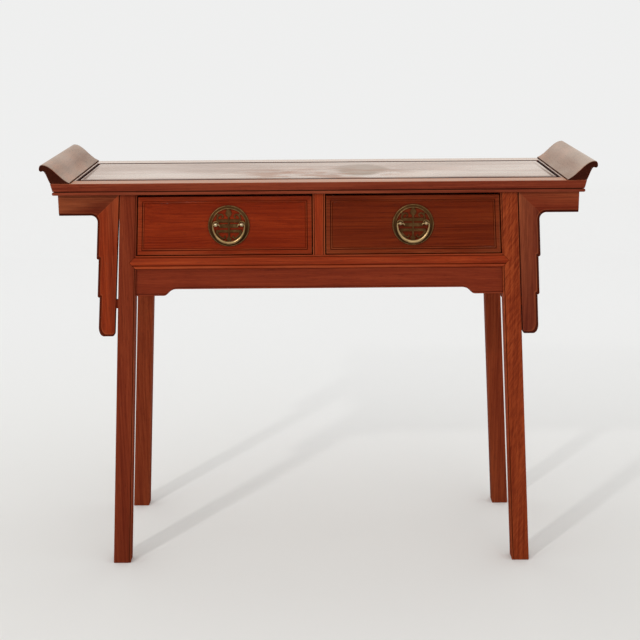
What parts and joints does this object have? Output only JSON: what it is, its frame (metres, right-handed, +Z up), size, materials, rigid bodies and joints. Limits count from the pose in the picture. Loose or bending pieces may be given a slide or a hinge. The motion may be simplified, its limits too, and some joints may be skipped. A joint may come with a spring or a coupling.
{
  "type": "sideboard",
  "caption": "Narrow altar-style hardwood sideboard with upturned end flanges, splayed legs, hanging brackets and side-by-side drawers with round brass bail pulls.",
  "frame": {"origin": "on the floor, under the middle of the top", "axes": "+X to the right seen from the front, the front faces -Y, +Z up"},
  "size_m": [1.13, 0.381, 0.8688],
  "materials": {
    "frame_wood": "polished red-brown hardwood",
    "top_wood": "polished red-brown hardwood with a soft sheen",
    "drawer_wood": "polished red-brown hardwood, figured",
    "inner_wood": "plain unpolished secondary wood",
    "brass": "antique, toned"
  },
  "bodies": {
    "frame": {"leg_front_left": "frame_wood", "leg_front_right": "frame_wood", "leg_back_left": "frame_wood", "leg_back_right": "frame_wood", "top_rail_front": "top_wood", "top_rail_back": "top_wood", "top_end_left": "top_wood", "top_end_right": "top_wood", "top_panel": "top_wood", "flange_left": "top_wood", "flange_right": "top_wood", "top_batten_left": "inner_wood", "top_batten_right": "inner_wood", "front_rail": "frame_wood", "front_apron": "frame_wood", "drawer_divider": "frame_wood", "back_rail": "frame_wood", "back_panel": "frame_wood", "side_rail_left": "frame_wood", "side_rail_right": "frame_wood", "side_panel_left": "frame_wood", "side_panel_right": "frame_wood", "runner_left": "inner_wood", "runner_right": "inner_wood", "runner_centre": "inner_wood", "bracket_arm_front_left": "frame_wood", "bracket_arm_front_right": "frame_wood", "bracket_arm_back_left": "frame_wood", "bracket_arm_back_right": "frame_wood", "bracket_drop_front_left": "frame_wood", "bracket_drop_front_right": "frame_wood", "bracket_drop_back_left": "frame_wood", "bracket_drop_back_right": "frame_wood", "bracket_peg_front_left": "frame_wood", "bracket_peg_front_right": "frame_wood", "bracket_peg_back_left": "frame_wood", "bracket_peg_back_right": "frame_wood"},
    "drawer_left": {"drawer_left_front": "drawer_wood", "drawer_left_inner_side": "inner_wood", "drawer_left_outer_side": "inner_wood", "drawer_left_back": "inner_wood", "drawer_left_bottom": "inner_wood", "pull_left_plate": "brass", "pull_left_post_left": "brass", "pull_left_post_right": "brass"},
    "bail_left": {"bail_left": "brass"},
    "drawer_right": {"drawer_right_front": "drawer_wood", "drawer_right_inner_side": "inner_wood", "drawer_right_outer_side": "inner_wood", "drawer_right_back": "inner_wood", "drawer_right_bottom": "inner_wood", "pull_right_plate": "brass", "pull_right_post_left": "brass", "pull_right_post_right": "brass"},
    "bail_right": {"bail_right": "brass"}
  },
  "joints": [
    {"name": "drawer_left_slide", "type": "slide", "parent": "frame", "child": "drawer_left", "axis": [0, -1, 0], "range_m": [0, 0.2]},
    {"name": "drawer_right_slide", "type": "slide", "parent": "frame", "child": "drawer_right", "axis": [0, -1, 0], "range_m": [0, 0.2]},
    {"name": "bail_left_hinge", "type": "hinge", "parent": "drawer_left", "child": "bail_left", "pos_m": [-0.18463, -0.185, 0.74315], "axis": [-1, 0, 0], "range_deg": [0, 120]},
    {"name": "bail_right_hinge", "type": "hinge", "parent": "drawer_right", "child": "bail_right", "pos_m": [0.19313, -0.185, 0.74315], "axis": [-1, 0, 0], "range_deg": [0, 120]}
  ]
}
